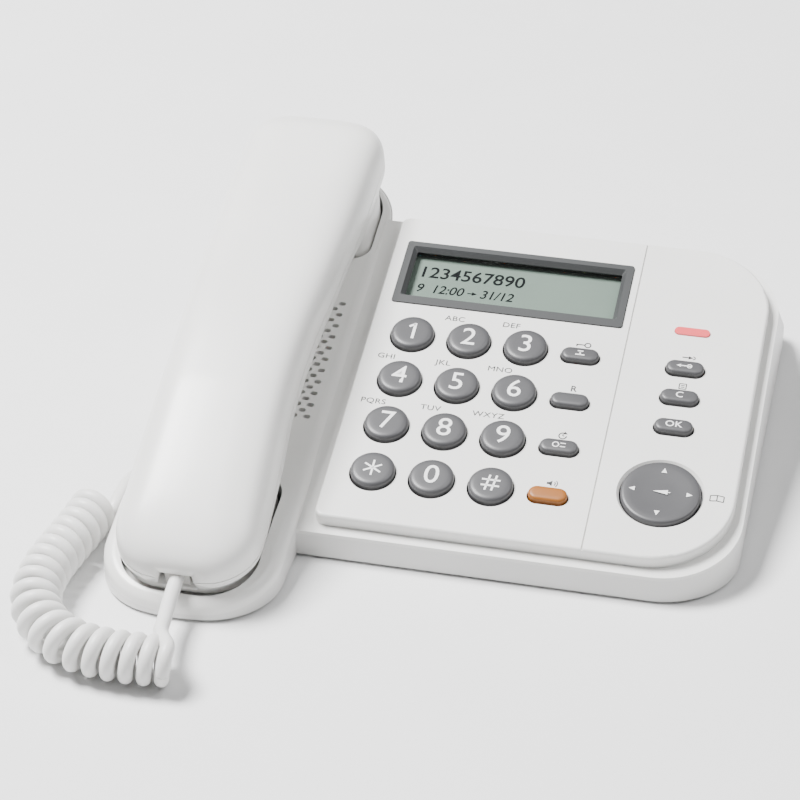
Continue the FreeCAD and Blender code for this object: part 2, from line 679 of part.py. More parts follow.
# ---- cord ----------------------------------------------------------------------------
def smooth_path(route):
    """Straight runs joined by tangent arcs, and the arcs' radii."""
    points = [Vector(*p) for p in route]
    edges = []
    radii = []
    start = points[0]
    for i in range(1, len(points) - 1):
        back = points[i - 1] - points[i]
        ahead = points[i + 1] - points[i]
        reach = 0.45 * min(back.Length, ahead.Length)
        half_turn = (math.pi - back.getAngle(ahead)) / 2
        radius = reach / math.tan(half_turn)
        radii.append(round(radius, 1))
        enter = points[i] + back.normalize() * reach
        leave = points[i] + ahead.normalize() * reach
        inward = (back + ahead).normalize()
        middle = points[i] + inward * (radius / math.cos(half_turn) - radius)
        edges.append(Part.LineSegment(start, enter).toShape())
        edges.append(Part.Arc(enter, middle, leave).toShape())
        start = leave
    edges.append(Part.LineSegment(start, points[-1]).toShape())
    return Part.Wire(edges), radii


def tube(name, route, diameter):
    wire, radii = smooth_path(route)
    first = Vector(*route[0])
    way = Vector(*route[1]) - first
    ring = Part.Wire(Part.makeCircle(diameter / 2, first, way))
    solid = wire.makePipeShell([ring], True, True)
    expected = math.pi * diameter ** 2 / 4 * wire.Length
    print(name, "radii", radii, "length", round(wire.Length, 1), "volume ratio", round(solid.Volume / expected, 4))
    return solid


def front_tail_route():
    """From the plug's face straight out of the notch, then down to the coil."""
    straight = [panel_point(HAND_U, PLUG_FRONT_V - run, SOCKET_W) for run in (0, FRONT_RUN)]
    return straight + FRONT_TAIL_END


def main():
    lower_case = make_lower_case()
    save("lower_case", lower_case)
    save("upper_case", make_upper_case().cut(lower_case))
    save("display_bezel", make_bezel())
    save("display_window", make_window())
    save("lcd_panel", make_lcd())
    save("main_circuit_board", make_board())
    save("keypad_mat", make_mat())
    save("message_lamp", make_lamp())
    for name, u, v in key_places():
        save(name, make_round_key(u, v))
    for name, u, v in oval_places():
        save(name, make_oval_key(u, v))
    save("navigator_key", make_navigator())
    save("navigator_pivot", make_pivot())
    save("base_speaker", make_speaker())
    save("ballast_weight", make_ballast())
    save("rubber_feet", make_feet())
    save("case_screws", make_screws())
    save("hook_plunger", make_hook_plunger())
    save("hook_spring", make_hook_spring())
    save("line_jack", make_line_jack())
    save("cord_jack", make_cord_jack())
    save("batteries", make_batteries())
    save("battery_contacts", make_contacts())
    save("battery_cover", make_battery_cover())
    save("ringer_switch", make_ringer_switch())
    top, bottom = make_handset_shells()
    save("handset_top_shell", top)
    save("handset_bottom_shell", bottom)
    save("earpiece_speaker", make_earpiece())
    save("microphone", make_microphone())
    save("handset_weight", make_handset_weight())
    save("handset_jack", make_handset_jack())
    save("handset_screws", make_handset_screws())
    save("handset_plug", make_handset_plug())
    save("base_plug", make_base_plug())
    save("curly_cord", tube("curly_cord", [(x, y, COIL_Z) for x, y in COIL_ROUTE], COIL_OUTER))
    save("cord_tail_front", tube("cord_tail_front", front_tail_route(), WIRE))
    save("cord_tail_side", tube("cord_tail_side", SIDE_TAIL, WIRE))


main()
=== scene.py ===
"""The looks of a corded desk telephone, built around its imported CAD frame.

The handset skins, key caps, navigator disc, printed legends, display characters and the curly cord
are Blender pieces. The case halves and the inner parts are CAD nodes with procedural materials.
"""

import json
import logging
import math
from dataclasses import dataclass, field
from enum import Enum
from typing import Callable, Dict, Iterable, List, Optional, Sequence, Tuple

import bmesh
import bpy
from mathutils import Matrix, Vector


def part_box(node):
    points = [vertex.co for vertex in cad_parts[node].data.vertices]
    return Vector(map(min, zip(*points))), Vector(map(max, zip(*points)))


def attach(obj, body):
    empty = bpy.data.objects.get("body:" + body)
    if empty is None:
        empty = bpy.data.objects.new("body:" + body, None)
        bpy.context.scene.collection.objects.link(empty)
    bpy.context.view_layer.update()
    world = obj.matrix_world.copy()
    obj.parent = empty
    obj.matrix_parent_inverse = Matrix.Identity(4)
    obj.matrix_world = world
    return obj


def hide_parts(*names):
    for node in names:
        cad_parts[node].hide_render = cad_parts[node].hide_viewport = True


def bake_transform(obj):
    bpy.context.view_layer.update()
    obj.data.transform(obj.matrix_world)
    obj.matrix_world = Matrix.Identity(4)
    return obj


LOG = logging.getLogger("telephone")
MM = 0.001
Point2 = Tuple[float, float]
Point3 = Tuple[float, float, float]

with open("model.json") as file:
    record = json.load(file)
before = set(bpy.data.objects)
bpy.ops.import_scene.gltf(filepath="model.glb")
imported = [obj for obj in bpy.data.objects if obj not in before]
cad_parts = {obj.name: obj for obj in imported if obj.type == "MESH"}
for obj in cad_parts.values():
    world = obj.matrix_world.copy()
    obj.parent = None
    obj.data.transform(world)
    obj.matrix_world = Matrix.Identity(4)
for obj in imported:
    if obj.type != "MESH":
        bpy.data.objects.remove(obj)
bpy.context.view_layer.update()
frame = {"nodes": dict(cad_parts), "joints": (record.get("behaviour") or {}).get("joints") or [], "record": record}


# ---------------------------------------------------------------------------- finishes
class Surface(Enum):
    """The families of surface that a finish can belong to."""

    PLASTIC = "plastic"
    METAL = "metal"
    RUBBER = "rubber"
    CLEAR = "clear"
    GLOW = "glow"
    LAMINATE = "laminate"


@dataclass(frozen=True)
class Finish:
    """One procedural surface.

    Args:
        name: the material's name.
        surface: its family, which picks the node recipe.
        colour: linear base colour.
        roughness: middle of the roughness range.
        grain: size of the fine moulded texture, in millimetres.
        bump: strength of that texture.
        variation: how far the colour drifts over the piece, 0 to 1.
        coat: weight of a clear coat.
        subsurface: weight of light that scatters under the surface.
        alpha: how much of the surface covers what is behind it.
        specular: strength of the reflection from the surface itself.
    """

    name: str
    surface: Surface
    colour: Tuple[float, float, float]
    roughness: float = 0.4
    grain: float = 0.5
    bump: float = 0.05
    variation: float = 0.05
    coat: float = 0.0
    subsurface: float = 0.0
    alpha: float = 1.0
    specular: float = 0.5


WHITE = Finish("warm_white_plastic", Surface.PLASTIC, (0.79, 0.785, 0.765),
               0.3, 0.35, 0.035, 0.035, 0.12, 0.04)
WHITE_HANDSET = Finish("handset_plastic", Surface.PLASTIC, (0.8, 0.795, 0.775),
                       0.34, 0.3, 0.02, 0.03, 0.1, 0.05)
# A darker copy of the white plastic for the lower case: painted shade on the front and side walls, which are the
# same white as the panel.
CASE_WHITE_PAINTED_SHADE = Finish("case_plastic", Surface.PLASTIC, (0.72, 0.715, 0.7), 0.38, 0.45, 0.06, 0.04, 0.05, 0.03)
KEY_GREY = Finish("key_grey", Surface.PLASTIC, (0.066, 0.0655, 0.069), 0.42, 0.25, 0.05, 0.1, 0.04)
KEY_ORANGE = Finish("key_orange", Surface.PLASTIC, (0.27, 0.085, 0.003), 0.5, 0.25, 0.05, 0.1, 0.06, 0.04)
BEZEL_GREY = Finish("bezel_grey", Surface.PLASTIC, (0.045, 0.047, 0.048), 0.42, 0.3, 0.05, 0.08, 0.04)
LCD_GREEN = Finish("lcd_panel", Surface.LAMINATE, (0.14, 0.192, 0.158), 0.45, 0.9, 0.01, 0.08)
LCD_INK = Finish("lcd_segments", Surface.PLASTIC, (0.002, 0.003, 0.004), 0.7, 0.4, 0.01, 0.1, specular=0.1)
CLEAR_PANE = Finish("clear_pane", Surface.CLEAR, (0.05, 0.055, 0.052), 0.05, 1.0, 0.004, 0.02, alpha=0.05)
LAMP_RED = Finish("lamp_red", Surface.GLOW, (0.7, 0.085, 0.1), 0.3, 0.8, 0.03, 0.2, 0.3, 0.3)
PRINT_WHITE = Finish("print_white", Surface.PLASTIC, (0.86, 0.86, 0.85), 0.45, 0.2, 0.02, 0.04)
PRINT_GREY = Finish("print_grey", Surface.PLASTIC, (0.014, 0.014, 0.015), 0.6, 0.2, 0.02, 0.08)
CORD_WHITE = Finish("cord_sheath", Surface.PLASTIC, (0.74, 0.735, 0.72), 0.42, 0.5, 0.05, 0.06, 0.04, 0.06)
PLUG_CLEAR = Finish("plug_plastic", Surface.PLASTIC, (0.5, 0.49, 0.47), 0.18, 0.8, 0.02, 0.08, 0.3, 0.1)
BLACK = Finish("black_plastic", Surface.PLASTIC, (0.018, 0.018, 0.02), 0.45, 0.4, 0.08, 0.15)
RUBBER_FOOT = Finish("foot_rubber", Surface.RUBBER, (0.045, 0.045, 0.045), 0.75, 0.6, 0.15, 0.2)
SILICONE = Finish("silicone_mat", Surface.RUBBER, (0.32, 0.32, 0.33), 0.6, 0.8, 0.08, 0.1)
STEEL = Finish("zinc_steel", Surface.METAL, (0.55, 0.55, 0.54), 0.32, 0.25, 0.08, 0.1)
CONTACT = Finish("contact_metal", Surface.METAL, (0.66, 0.52, 0.3), 0.28, 0.2, 0.05, 0.1)
CELL_SLEEVE = Finish("cell_sleeve", Surface.PLASTIC, (0.08, 0.1, 0.14), 0.25, 1.5, 0.02, 0.15, 0.4)
BOARD = Finish("board_laminate", Surface.LAMINATE, (0.02, 0.14, 0.06), 0.35, 1.2, 0.05, 0.25)
FLOOR = Finish("studio_floor", Surface.RUBBER, (0.8, 0.8, 0.8), 0.65, 8.0, 0.01, 0.015)

SLOT_FINISHES: Dict[str, Finish] = {
    "case_plastic": WHITE, "key_plastic": KEY_GREY, "orange_key": KEY_ORANGE, "bezel_plastic": BEZEL_GREY,
    "window": CLEAR_PANE, "lcd": LCD_GREEN, "board": BOARD, "silicone": SILICONE, "lamp": LAMP_RED,
    "black_parts": BLACK, "steel": STEEL, "foot_rubber": RUBBER_FOOT, "copper": CONTACT, "cell": CELL_SLEEVE,
    "cord_white": CORD_WHITE, "plug_clear": PLUG_CLEAR,
}
# The lower case takes the darker copy of the white plastic, as painted shade on its walls.
NODE_FINISHES: Dict[str, Finish] = {"lower_case": CASE_WHITE_PAINTED_SHADE}


class Paint:
    """Builds node materials from finishes, one for each finish."""

    def __init__(self) -> None:
        """Starts with no material made."""
        self.made: Dict[str, bpy.types.Material] = {}

    def get(self, finish: Finish) -> bpy.types.Material:
        """Returns the finish's material, making it the first time.

        Args:
            finish: the surface wanted.

        Returns:
            A material with a procedural node tree.
        """
        if finish.name not in self.made:
            self.made[finish.name] = self._build(finish)
        return self.made[finish.name]

    def _build(self, finish: Finish) -> bpy.types.Material:
        """Makes a finish's material.

        Args:
            finish: the surface wanted.

        Returns:
            The new material.
        """
        material = bpy.data.materials.new(finish.name)
        material.use_nodes = True
        tree = material.node_tree
        shader = tree.nodes["Principled BSDF"]
        place = tree.nodes.new("ShaderNodeTexCoord")
        drift = self._noise(tree, place, 28.0, 3.0)
        fine = self._noise(tree, place, 1.0 / (finish.grain * MM), 2.0)
        self._colour(tree, finish, drift, shader)
        self._roughness(tree, finish, fine, shader)
        self._bump(tree, finish, fine, shader)
        shader.inputs["Specular IOR Level"].default_value = finish.specular
        shader.inputs["Coat Weight"].default_value = finish.coat
        shader.inputs["Coat Roughness"].default_value = 0.12
        if finish.subsurface:
            shader.inputs["Subsurface Weight"].default_value = finish.subsurface
            shader.inputs["Subsurface Radius"].default_value = (1.0, 0.8, 0.7)
            shader.inputs["Subsurface Scale"].default_value = 0.002
        if finish.surface is Surface.METAL:
            shader.inputs["Metallic"].default_value = 1.0
        if finish.surface is Surface.GLOW:
            shader.inputs["Emission Color"].default_value = (0.9, 0.16, 0.17, 1)
            shader.inputs["Emission Strength"].default_value = 0.35
        if finish.surface is Surface.CLEAR:
            shader.inputs["Alpha"].default_value = finish.alpha
            material.surface_render_method = "BLENDED"
        return material

    @staticmethod
    def _noise(tree: bpy.types.NodeTree, place: bpy.types.Node, scale: float,
               detail: float) -> bpy.types.Node:
        """Adds a noise texture.

        Args:
            tree: the material's nodes.
            place: the texture coordinates.
            scale: how many waves to a metre.
            detail: how many finer waves are added.

        Returns:
            The noise node.
        """
        node = tree.nodes.new("ShaderNodeTexNoise")
        node.inputs["Scale"].default_value = scale
        node.inputs["Detail"].default_value = detail
        tree.links.new(place.outputs["Object"], node.inputs["Vector"])
        return node

    @staticmethod
    def _colour(tree: bpy.types.NodeTree, finish: Finish, drift: bpy.types.Node,
                shader: bpy.types.Node) -> None:
        """Lets the colour drift a little over the piece.

        Args:
            tree: the material's nodes.
            finish: the surface.
            drift: the noise that drives it.
            shader: the node that receives it.
        """
        ramp = tree.nodes.new("ShaderNodeValToRGB")
        low, high = 1 - finish.variation, 1 + finish.variation * 0.5
        ramp.color_ramp.elements[0].position = 0.3
        ramp.color_ramp.elements[1].position = 0.7
        ramp.color_ramp.elements[0].color = (*[c * low for c in finish.colour], 1)
        ramp.color_ramp.elements[1].color = (*[min(1.0, c * high) for c in finish.colour], 1)
        tree.links.new(drift.outputs["Fac"], ramp.inputs["Fac"])
        tree.links.new(ramp.outputs["Color"], shader.inputs["Base Color"])

    @staticmethod
    def _roughness(tree: bpy.types.NodeTree, finish: Finish, fine: bpy.types.Node,
                   shader: bpy.types.Node) -> None:
        """Varies the roughness with the fine texture.

        Args:
            tree: the material's nodes.
            finish: the surface.
            fine: the noise that drives it.
            shader: the node that receives it.
        """
        spread = tree.nodes.new("ShaderNodeMapRange")
        spread.inputs["To Min"].default_value = max(0.02, finish.roughness - 0.05)
        spread.inputs["To Max"].default_value = min(1.0, finish.roughness + 0.07)
        tree.links.new(fine.outputs["Fac"], spread.inputs["Value"])
        tree.links.new(spread.outputs["Result"], shader.inputs["Roughness"])

    @staticmethod
    def _bump(tree: bpy.types.NodeTree, finish: Finish, fine: bpy.types.Node, shader: bpy.types.Node) -> None:
        """Raises the fine moulded texture.

        Args:
            tree: the material's nodes.
            finish: the surface.
            fine: the noise that drives it.
            shader: the node that receives it.
        """
        bump = tree.nodes.new("ShaderNodeBump")
        bump.inputs["Strength"].default_value = finish.bump
        bump.inputs["Distance"].default_value = finish.grain * MM * 0.3
        tree.links.new(fine.outputs["Fac"], bump.inputs["Height"])
        tree.links.new(bump.outputs["Normal"], shader.inputs["Normal"])


PAINT = Paint()


# ---------------------------------------------------------------------------- geometry helpers
@dataclass(frozen=True)
class PanelFrame:
    """The sloping key panel: u to the right, v up the slope, w along its normal, in millimetres."""

    origin: Point3 = (-34.5, -57.0, 15.2)

    @property
    def normal(self) -> Vector:
        """The panel's normal, which the handset's lift joint runs along."""
        lift = next(j for j in frame["joints"] if j["name"] == "handset_lift")
        return Vector(lift["axis"]).normalized()

    @property
    def matrix(self) -> Matrix:
        """Takes a point in metres from (u, v, w) to the row's frame."""
        across = Vector((1, 0, 0))
        normal = self.normal
        along = normal.cross(across)
        turn = Matrix((across, along, normal)).transposed().to_4x4()
        return Matrix.Translation(Vector(self.origin) * MM) @ turn

    def locate(self, point: Vector) -> Vector:
        """The (u, v, w) of a row-frame point, in millimetres."""
        return (self.matrix.inverted() @ point) / MM


PANEL = PanelFrame()
PANEL_MATRIX = PANEL.matrix


def node_centre(name: str) -> Vector:
    """The centre of a CAD node's box, in (u, v, w)."""
    low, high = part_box(name)
    return PANEL.locate((Vector(low) + Vector(high)) / 2)


@dataclass(frozen=True)
class Curve:
    """A smooth function through a few points, flat-limited so that it never overshoots."""

    points: Tuple[Point2, ...]

    def __call__(self, x: float) -> float:
        """The function's value.

        Args:
            x: where it is wanted.

        Returns:
            The value there, and the end value past either end.
        """
        pts = self.points
        if x <= pts[0][0]:
            return pts[0][1]
        if x >= pts[-1][0]:
            return pts[-1][1]
        i = max(k for k in range(len(pts) - 1) if pts[k][0] <= x)
        (x0, y0), (x1, y1) = pts[i], pts[i + 1]
        span = x1 - x0
        t = (x - x0) / span
        m0, m1 = self._slope(i) * span, self._slope(i + 1) * span
        return ((2 * t**3 - 3 * t**2 + 1) * y0 + (t**3 - 2 * t**2 + t) * m0
                + (3 * t**2 - 2 * t**3) * y1 + (t**3 - t**2) * m1)

    def _slope(self, i: int) -> float:
        """The slope at a point.

        Args:
            i: the point's number.

        Returns:
            The harmonic mean of the slopes beside it, or nothing at a turning point.
        """
        pts = self.points

        def secant(k: int) -> float:
            """The slope from point k to the next."""
            return (pts[k + 1][1] - pts[k][1]) / (pts[k + 1][0] - pts[k][0])

        if i == 0:
            return secant(0)
        if i == len(pts) - 1:
            return secant(i - 1)
        a, b = secant(i - 1), secant(i)
        return 0.0 if a * b <= 0 else 2 * a * b / (a + b)


def new_mesh_object(name: str, shape: bmesh.types.BMesh, finish: Finish,
                    smooth_angle: float = 40.0) -> bpy.types.Object:
    """Turns a bmesh into an object with a finish and smooth shading up to an angle.

    Args:
        name: the piece's name.
        shape: its geometry, in metres, in the row frame. It is freed.
        finish: its surface.
        smooth_angle: edges sharper than this many degrees stay crisp.

    Returns:
        The new object, linked to the scene.
    """
    bmesh.ops.recalc_face_normals(shape, faces=shape.faces)
    for edge in shape.edges:
        if len(edge.link_faces) == 2:
            edge.smooth = edge.calc_face_angle(0.0) < math.radians(smooth_angle)
    for face in shape.faces:
        face.smooth = True
    mesh = bpy.data.meshes.new(name)
    shape.to_mesh(mesh)
    shape.free()
    made = bpy.data.objects.new(name, mesh)
    bpy.context.scene.collection.objects.link(made)
    made.data.materials.append(PAINT.get(finish))
    return made


def rounded_outline(u0: float, v0: float, u1: float, v1: float, radii: Sequence[float],
                    steps: int = 8) -> List[Point2]:
    """A rectangle with a radius at each corner.

    Args:
        u0: its left side.
        v0: its lower side.
        u1: its right side.
        v1: its upper side.
        radii: the corners' radii, from the lower left round to the upper left.
        steps: how many sides each corner has.

    Returns:
        The points, anticlockwise.
    """
    corners = [(u0, v0, 180.0), (u1, v0, 270.0), (u1, v1, 0.0), (u0, v1, 90.0)]
    outline: List[Point2] = []
    for (u, v, start), radius in zip(corners, radii):
        cu = u + radius if u == u0 else u - radius
        cv = v + radius if v == v0 else v - radius
        for k in range(steps + 1):
            angle = math.radians(start + 90.0 * k / steps)
            outline.append((cu + radius * math.cos(angle), cv + radius * math.sin(angle)))
    return outline


def circle_outline(u: float, v: float, radius: float, steps: int = 48) -> List[Point2]:
    """A circle's points."""
    return [(u + radius * math.cos(2 * math.pi * k / steps), v + radius * math.sin(2 * math.pi * k / steps))
            for k in range(steps)]


def stack(shape: bmesh.types.BMesh, outline: Callable[[float], List[Point2]], levels: Sequence[Point2],
          floor: Optional[Callable[[float], float]] = None) -> None:
    """Adds a closed form made of rings of one outline at several levels.

    Args:
        shape: receives the geometry.
        outline: gives the ring for an inset, in millimetres.
        levels: (inset, height) from the bottom ring to the top ring.
        floor: an extra height that depends on v, and fades to nothing at the top ring.
    """
    rings = []
    last = len(levels) - 1
    for k, (inset, height) in enumerate(levels):
        ring = []
        for u, v in outline(inset):
            lift = floor(v) if floor and k < last else 0.0
            ring.append(shape.verts.new(PANEL_MATRIX @ (Vector((u, v, height + lift)) * MM)))
        rings.append(ring)
    for low, high in zip(rings, rings[1:]):
        for i in range(len(low)):
            j = (i + 1) % len(low)
            shape.faces.new((low[i], low[j], high[j], high[i]))
    shape.faces.new(list(reversed(rings[0])))
    shape.faces.new(rings[-1])


# ---------------------------------------------------------------------------- the handset
@dataclass
class HandsetSkins:
    """The two moulded shells of the handset, as smooth crowned forms.

    The body is a row of sections across the handset. Each is widest at the joint between the two
    shells, with a crown above it and a flatter underside below it. The two cups hang from the
    underside and reach into the cradle's pockets.
    """

    centre: float = -32.7
    front: float = -37.3
    back: float = 161.0
    cup_height: float = 6.0
    front_corner: float = 16.5
    back_corner: float = 17.5
    notch_back: float = -31.9
    notch_low: Point2 = (6.3, 2.7)
    notch_high: Point2 = (5.0, 8.9)
    groove: float = 0.14
    stations: int = 88
    across: int = 22
    half_width: Curve = Curve(((-37.3, 22.3), (-17.0, 22.5), (5.0, 21.8), (30.0, 21.0), (50.0, 21.3),
                               (85.0, 22.8), (111.0, 23.7), (128.0, 24.0), (161.0, 24.0)))
    crown: Curve = Curve(((-37.3, 6.3), (-37.15, 9.0), (-36.2, 11.9), (-34.4, 14.0), (-30.5, 16.4),
                          (-15.0, 21.8), (5.0, 26.4), (26.0, 30.0), (50.0, 31.4), (85.0, 29.3),
                          (111.0, 27.1), (130.0, 26.0), (145.0, 24.5),
                          (153.0, 21.6), (158.2, 16.9), (160.4, 12.9), (161.0, 10.6)))
    underside: Curve = Curve(((-37.3, 6.1), (-37.1, 4.2), (-36.3, 3.3), (-33.0, 2.9), (8.0, 2.9), (18.0, 4.4),
                              (28.0, 8.0), (36.0, 8.6), (94.0, 8.6), (103.0, 7.5), (111.0, 4.7), (118.0, 4.0),
                              (148.0, 4.0), (156.0, 5.0), (160.0, 7.6), (161.0, 10.5)))
    joint: Curve = Curve(((-37.3, 6.2), (-17.0, 6.9), (5.0, 11.2), (26.0, 16.0), (50.0, 17.2), (85.0, 15.0),
                          (111.0, 12.4), (161.0, 10.55)))

    def _stations(self) -> List[float]:
        """Places of the sections, closer together near both ends."""
        places = []
        for k in range(self.stations + 1):
            t = k / self.stations
            eased = 0.5 - 0.5 * math.cos(math.pi * t)
            places.append(self.front + (self.back - self.front) * (0.35 * t + 0.65 * eased))
        return places

    def _half(self, v: float) -> float:
        """Half the plan's width at v, with round corners at both ends."""
        half = self.half_width(v)
        ends = ((v - self.front, self.front_corner), (self.back - v, self.back_corner))
        for distance, radius in ends:
            if distance < radius:
                half += math.sqrt(max(0.0, radius**2 - (radius - distance) ** 2)) - radius
        return half

    def _section(self, v: float, upper: bool) -> List[Tuple[float, float, float]]:
        """Points across one shell.

        Args:
            v: the section's place.
            upper: whether it is the upper shell.

        Returns:
            (u, outer w, joint w) for each point.
        """
        half = self._half(v)
        seam = self.joint(v)
        reach = (self.crown(v) if upper else self.underside(v)) - seam
        edge = seam + (self.groove if upper else -self.groove)
        power_u, power_w = (3.7, 2.9) if upper else (7.0, 5.0)
        points = []
        for i in range(self.across + 1):
            angle = math.pi * i / self.across
            c, s = math.cos(angle), math.sin(angle)
            u = half * math.copysign(abs(c) ** (2 / power_u), -c)
            w = seam + reach * abs(s) ** (2 / power_w)
            outer = max(w, edge) if upper else min(w, edge)
            points.append((self.centre + u, outer, edge))
        return points

    def _body(self, shape: bmesh.types.BMesh, upper: bool) -> None:
        """Adds one shell's closed form.

        Args:
            shape: receives the geometry.
            upper: whether it is the upper shell.
        """
        rows, flats = [], []
        for v in self._stations():
            row, flat = [], []
            for u, outer, edge in self._section(v, upper):
                row.append(shape.verts.new(PANEL_MATRIX @ (Vector((u, v, outer)) * MM)))
                flat.append(shape.verts.new(PANEL_MATRIX @ (Vector((u, v, edge)) * MM)))
            rows.append(row)
            flats.append(flat)
        for grid in (rows, flats):
            for a, b in zip(grid, grid[1:]):
                for i in range(self.across):
                    shape.faces.new((a[i], a[i + 1], b[i + 1], b[i]))
        for row, flat in ((rows[0], flats[0]), (rows[-1], flats[-1])):
            for i in range(self.across):
                shape.faces.new((row[i], row[i + 1], flat[i + 1], flat[i]))
        bmesh.ops.remove_doubles(shape, verts=shape.verts, dist=0.02 * MM)
        bmesh.ops.dissolve_degenerate(shape, edges=shape.edges, dist=0.001 * MM)

    def _cups(self, shape: bmesh.types.BMesh) -> None:
        """Adds the earpiece's and the mouthpiece's cups to shape."""
        c = self.centre

        def ear(inset: float) -> List[Point2]:
            """The earpiece cup's outline, smaller by inset."""
            radii = [max(1.0, r - inset * 0.6) for r in (6.5, 6.5, 17.5, 17.5)]
            return rounded_outline(c - 23.5 + inset, 114.4 + inset, c + 23.5 - inset, 152.4 - inset, radii)

        def mouth(inset: float) -> List[Point2]:
            """The mouthpiece cup's outline, smaller by inset."""
            radii = [max(1.0, r - inset * 0.6) for r in (15.5, 15.5, 12.5, 12.5)]
            return rounded_outline(c - 20.8 + inset, -36.6 + inset, c + 20.8 - inset, 15.5 - inset, radii)

        along = PANEL.matrix.to_3x3() @ Vector((0, 1, 0))
        up = PANEL.normal

        def table_level(v: float) -> float:
            """The w at v of a level plane above the table."""
            return (self.cup_height - PANEL.origin[2] - v * along.z) / up.z

        ear_levels = [(2.4, -13.5), (1.1, -13.2), (0.35, -12.5), (0.0, -11.4), (0.0, 2.5), (0.6, 4.6),
                      (2.0, 6.0)]
        mouth_levels = [(2.4, 0.05), (1.1, 0.35), (0.35, 1.0), (0.0, 2.1), (1.2, 6.3)]
        stack(shape, ear, ear_levels)
        stack(shape, mouth, mouth_levels, table_level)

    def _notch_block(self, name: str, front: float, back: float) -> bpy.types.Object:
        """A block of the notch's outline.

        Args:
            name: the block's name.
            front: the v of its front face.
            back: the v of its back face.

        Returns:
            The new object.
        """
        shape = bmesh.new()
        low, high = self.notch_low, self.notch_high
        corners = [(-low[0], low[1]), (low[0], low[1]), (high[0], high[1]), (-high[0], high[1])]
        near, far = ([shape.verts.new(PANEL_MATRIX @ (Vector((self.centre + u, v, w)) * MM))
                      for u, w in corners] for v in (front, back))
        for i in range(4):
            j = (i + 1) % 4
            shape.faces.new((near[i], near[j], far[j], far[i]))
        shape.faces.new(near)
        shape.faces.new(far)
        return new_mesh_object(name, shape, BLACK)

    def _notch_lining(self) -> None:
        """The dark face of the socket, at the back of the notch."""
        lining = self._notch_block("handset_socket_face", self.notch_back - 0.5, self.notch_back + 0.4)
        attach(lining, "handset")

    def _cut_notch(self, skin: bpy.types.Object) -> None:
        """Cuts the opening that the cord's plug goes through."""
        cutter = self._notch_block("notch_cutter", self.front - 8.0, self.notch_back)
        cut = skin.modifiers.new("notch", "BOOLEAN")
        cut.operation = "DIFFERENCE"
        cut.solver = "EXACT"
        cut.use_self = True
        cut.object = cutter
        bpy.context.view_layer.update()
        graph = bpy.context.evaluated_depsgraph_get()
        result = bpy.data.meshes.new_from_object(skin.evaluated_get(graph))
        skin.modifiers.clear()
        skin.data = result
        bpy.data.objects.remove(cutter)

    def build(self) -> None:
        """Makes both skins and lets them ride on the handset."""
        for name, node, upper in (("handset_top_skin", "handset_top_shell", True),
                                  ("handset_bottom_skin", "handset_bottom_shell", False)):
            shape = bmesh.new()
            self._body(shape, upper)
            if not upper:
                self._cups(shape)
            skin = new_mesh_object(name, shape, WHITE_HANDSET, 50.0)
            self._cut_notch(skin)
            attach(skin, "handset")
            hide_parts(node)
        self._notch_lining()


# ---------------------------------------------------------------------------- keys and legends
@dataclass
class Printer:
    """Prints legends and small symbols just above a surface of the panel."""

    lift: float = 0.06

    def text(self, name: str, words: str, u: float, v: float, w: float, height: float, finish: Finish,
             body: str, slot: str, bold: float = 0.0, lean: float = 0.0, stretch: float = 1.0,
             align: str = "CENTER") -> bpy.types.Object:
        """Prints words.

        Args:
            name: the piece's name.
            words: what it says.
            u: where it stands, across the panel.
            v: where its middle is, up the panel.
            w: the height of the surface under it.
            height: the capitals' height.
            finish: the ink.
            body: the body that it rides on.
            slot: the material slot that it belongs to.
            bold: how much thicker the strokes are, as a share of the height.
            lean: how far the letters lean.
            stretch: how much wider the letters are.
            align: which part of the words is at u.

        Returns:
            The printed words.
        """
        curve = bpy.data.curves.new(name + "_curve", "FONT")
        curve.body = words
        curve.size = height * MM / 0.7
        curve.align_x = align
        curve.align_y = "CENTER"
        curve.offset = bold * height * MM
        curve.shear = lean
        curve.space_character = 1.0 + 0.4 * (stretch - 1)
        curve.resolution_u = 4
        source = bpy.data.objects.new(name + "_source", curve)
        bpy.context.scene.collection.objects.link(source)
        bpy.context.view_layer.update()
        graph = bpy.context.evaluated_depsgraph_get()
        mesh = bpy.data.meshes.new_from_object(source.evaluated_get(graph))
        bpy.data.objects.remove(source)
        mesh.name = name
        spread = Matrix.Diagonal((stretch, 1, 1, 1))
        mesh.transform(PANEL_MATRIX @ Matrix.Translation(Vector((u, v, w + self.lift)) * MM) @ spread)
        return self._publish(name, mesh, finish, body, slot)

    def shapes(self, name: str, outlines: Iterable[Sequence[Point2]], u: float, v: float, w: float,
               finish: Finish, body: str, slot: str) -> bpy.types.Object:
        """Prints filled outlines.

        Args:
            name: the piece's name.
            outlines: the outlines, in millimetres from (u, v).
            u: their origin, across the panel.
            v: their origin, up the panel.
            w: the height of the surface under them.
            finish: the ink.
            body: the body that they ride on.
            slot: the material slot that they belong to.

        Returns:
            The printed shapes.
        """
        shape = bmesh.new()
        for outline in outlines:
            corners = [shape.verts.new(PANEL_MATRIX @ (Vector((u + x, v + y, w + self.lift)) * MM))
                       for x, y in outline]
            shape.faces.new(corners)
        mesh = bpy.data.meshes.new(name)
        shape.to_mesh(mesh)
        shape.free()
        return self._publish(name, mesh, finish, body, slot)

    @staticmethod
    def _publish(name: str, mesh: bpy.types.Mesh, finish: Finish, body: str, slot: str) -> bpy.types.Object:
        """Makes a printed mesh a piece.

        Args:
            name: the piece's name.
            mesh: its geometry.
            finish: the ink.
            body: the body that it rides on.
            slot: the material slot that it belongs to.

        Returns:
            The piece.
        """
        mesh.materials.clear()
        mesh.materials.append(PAINT.get(finish))
        made = bpy.data.objects.new(name, mesh)
        bpy.context.scene.collection.objects.link(made)
        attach(made, body)
        return made


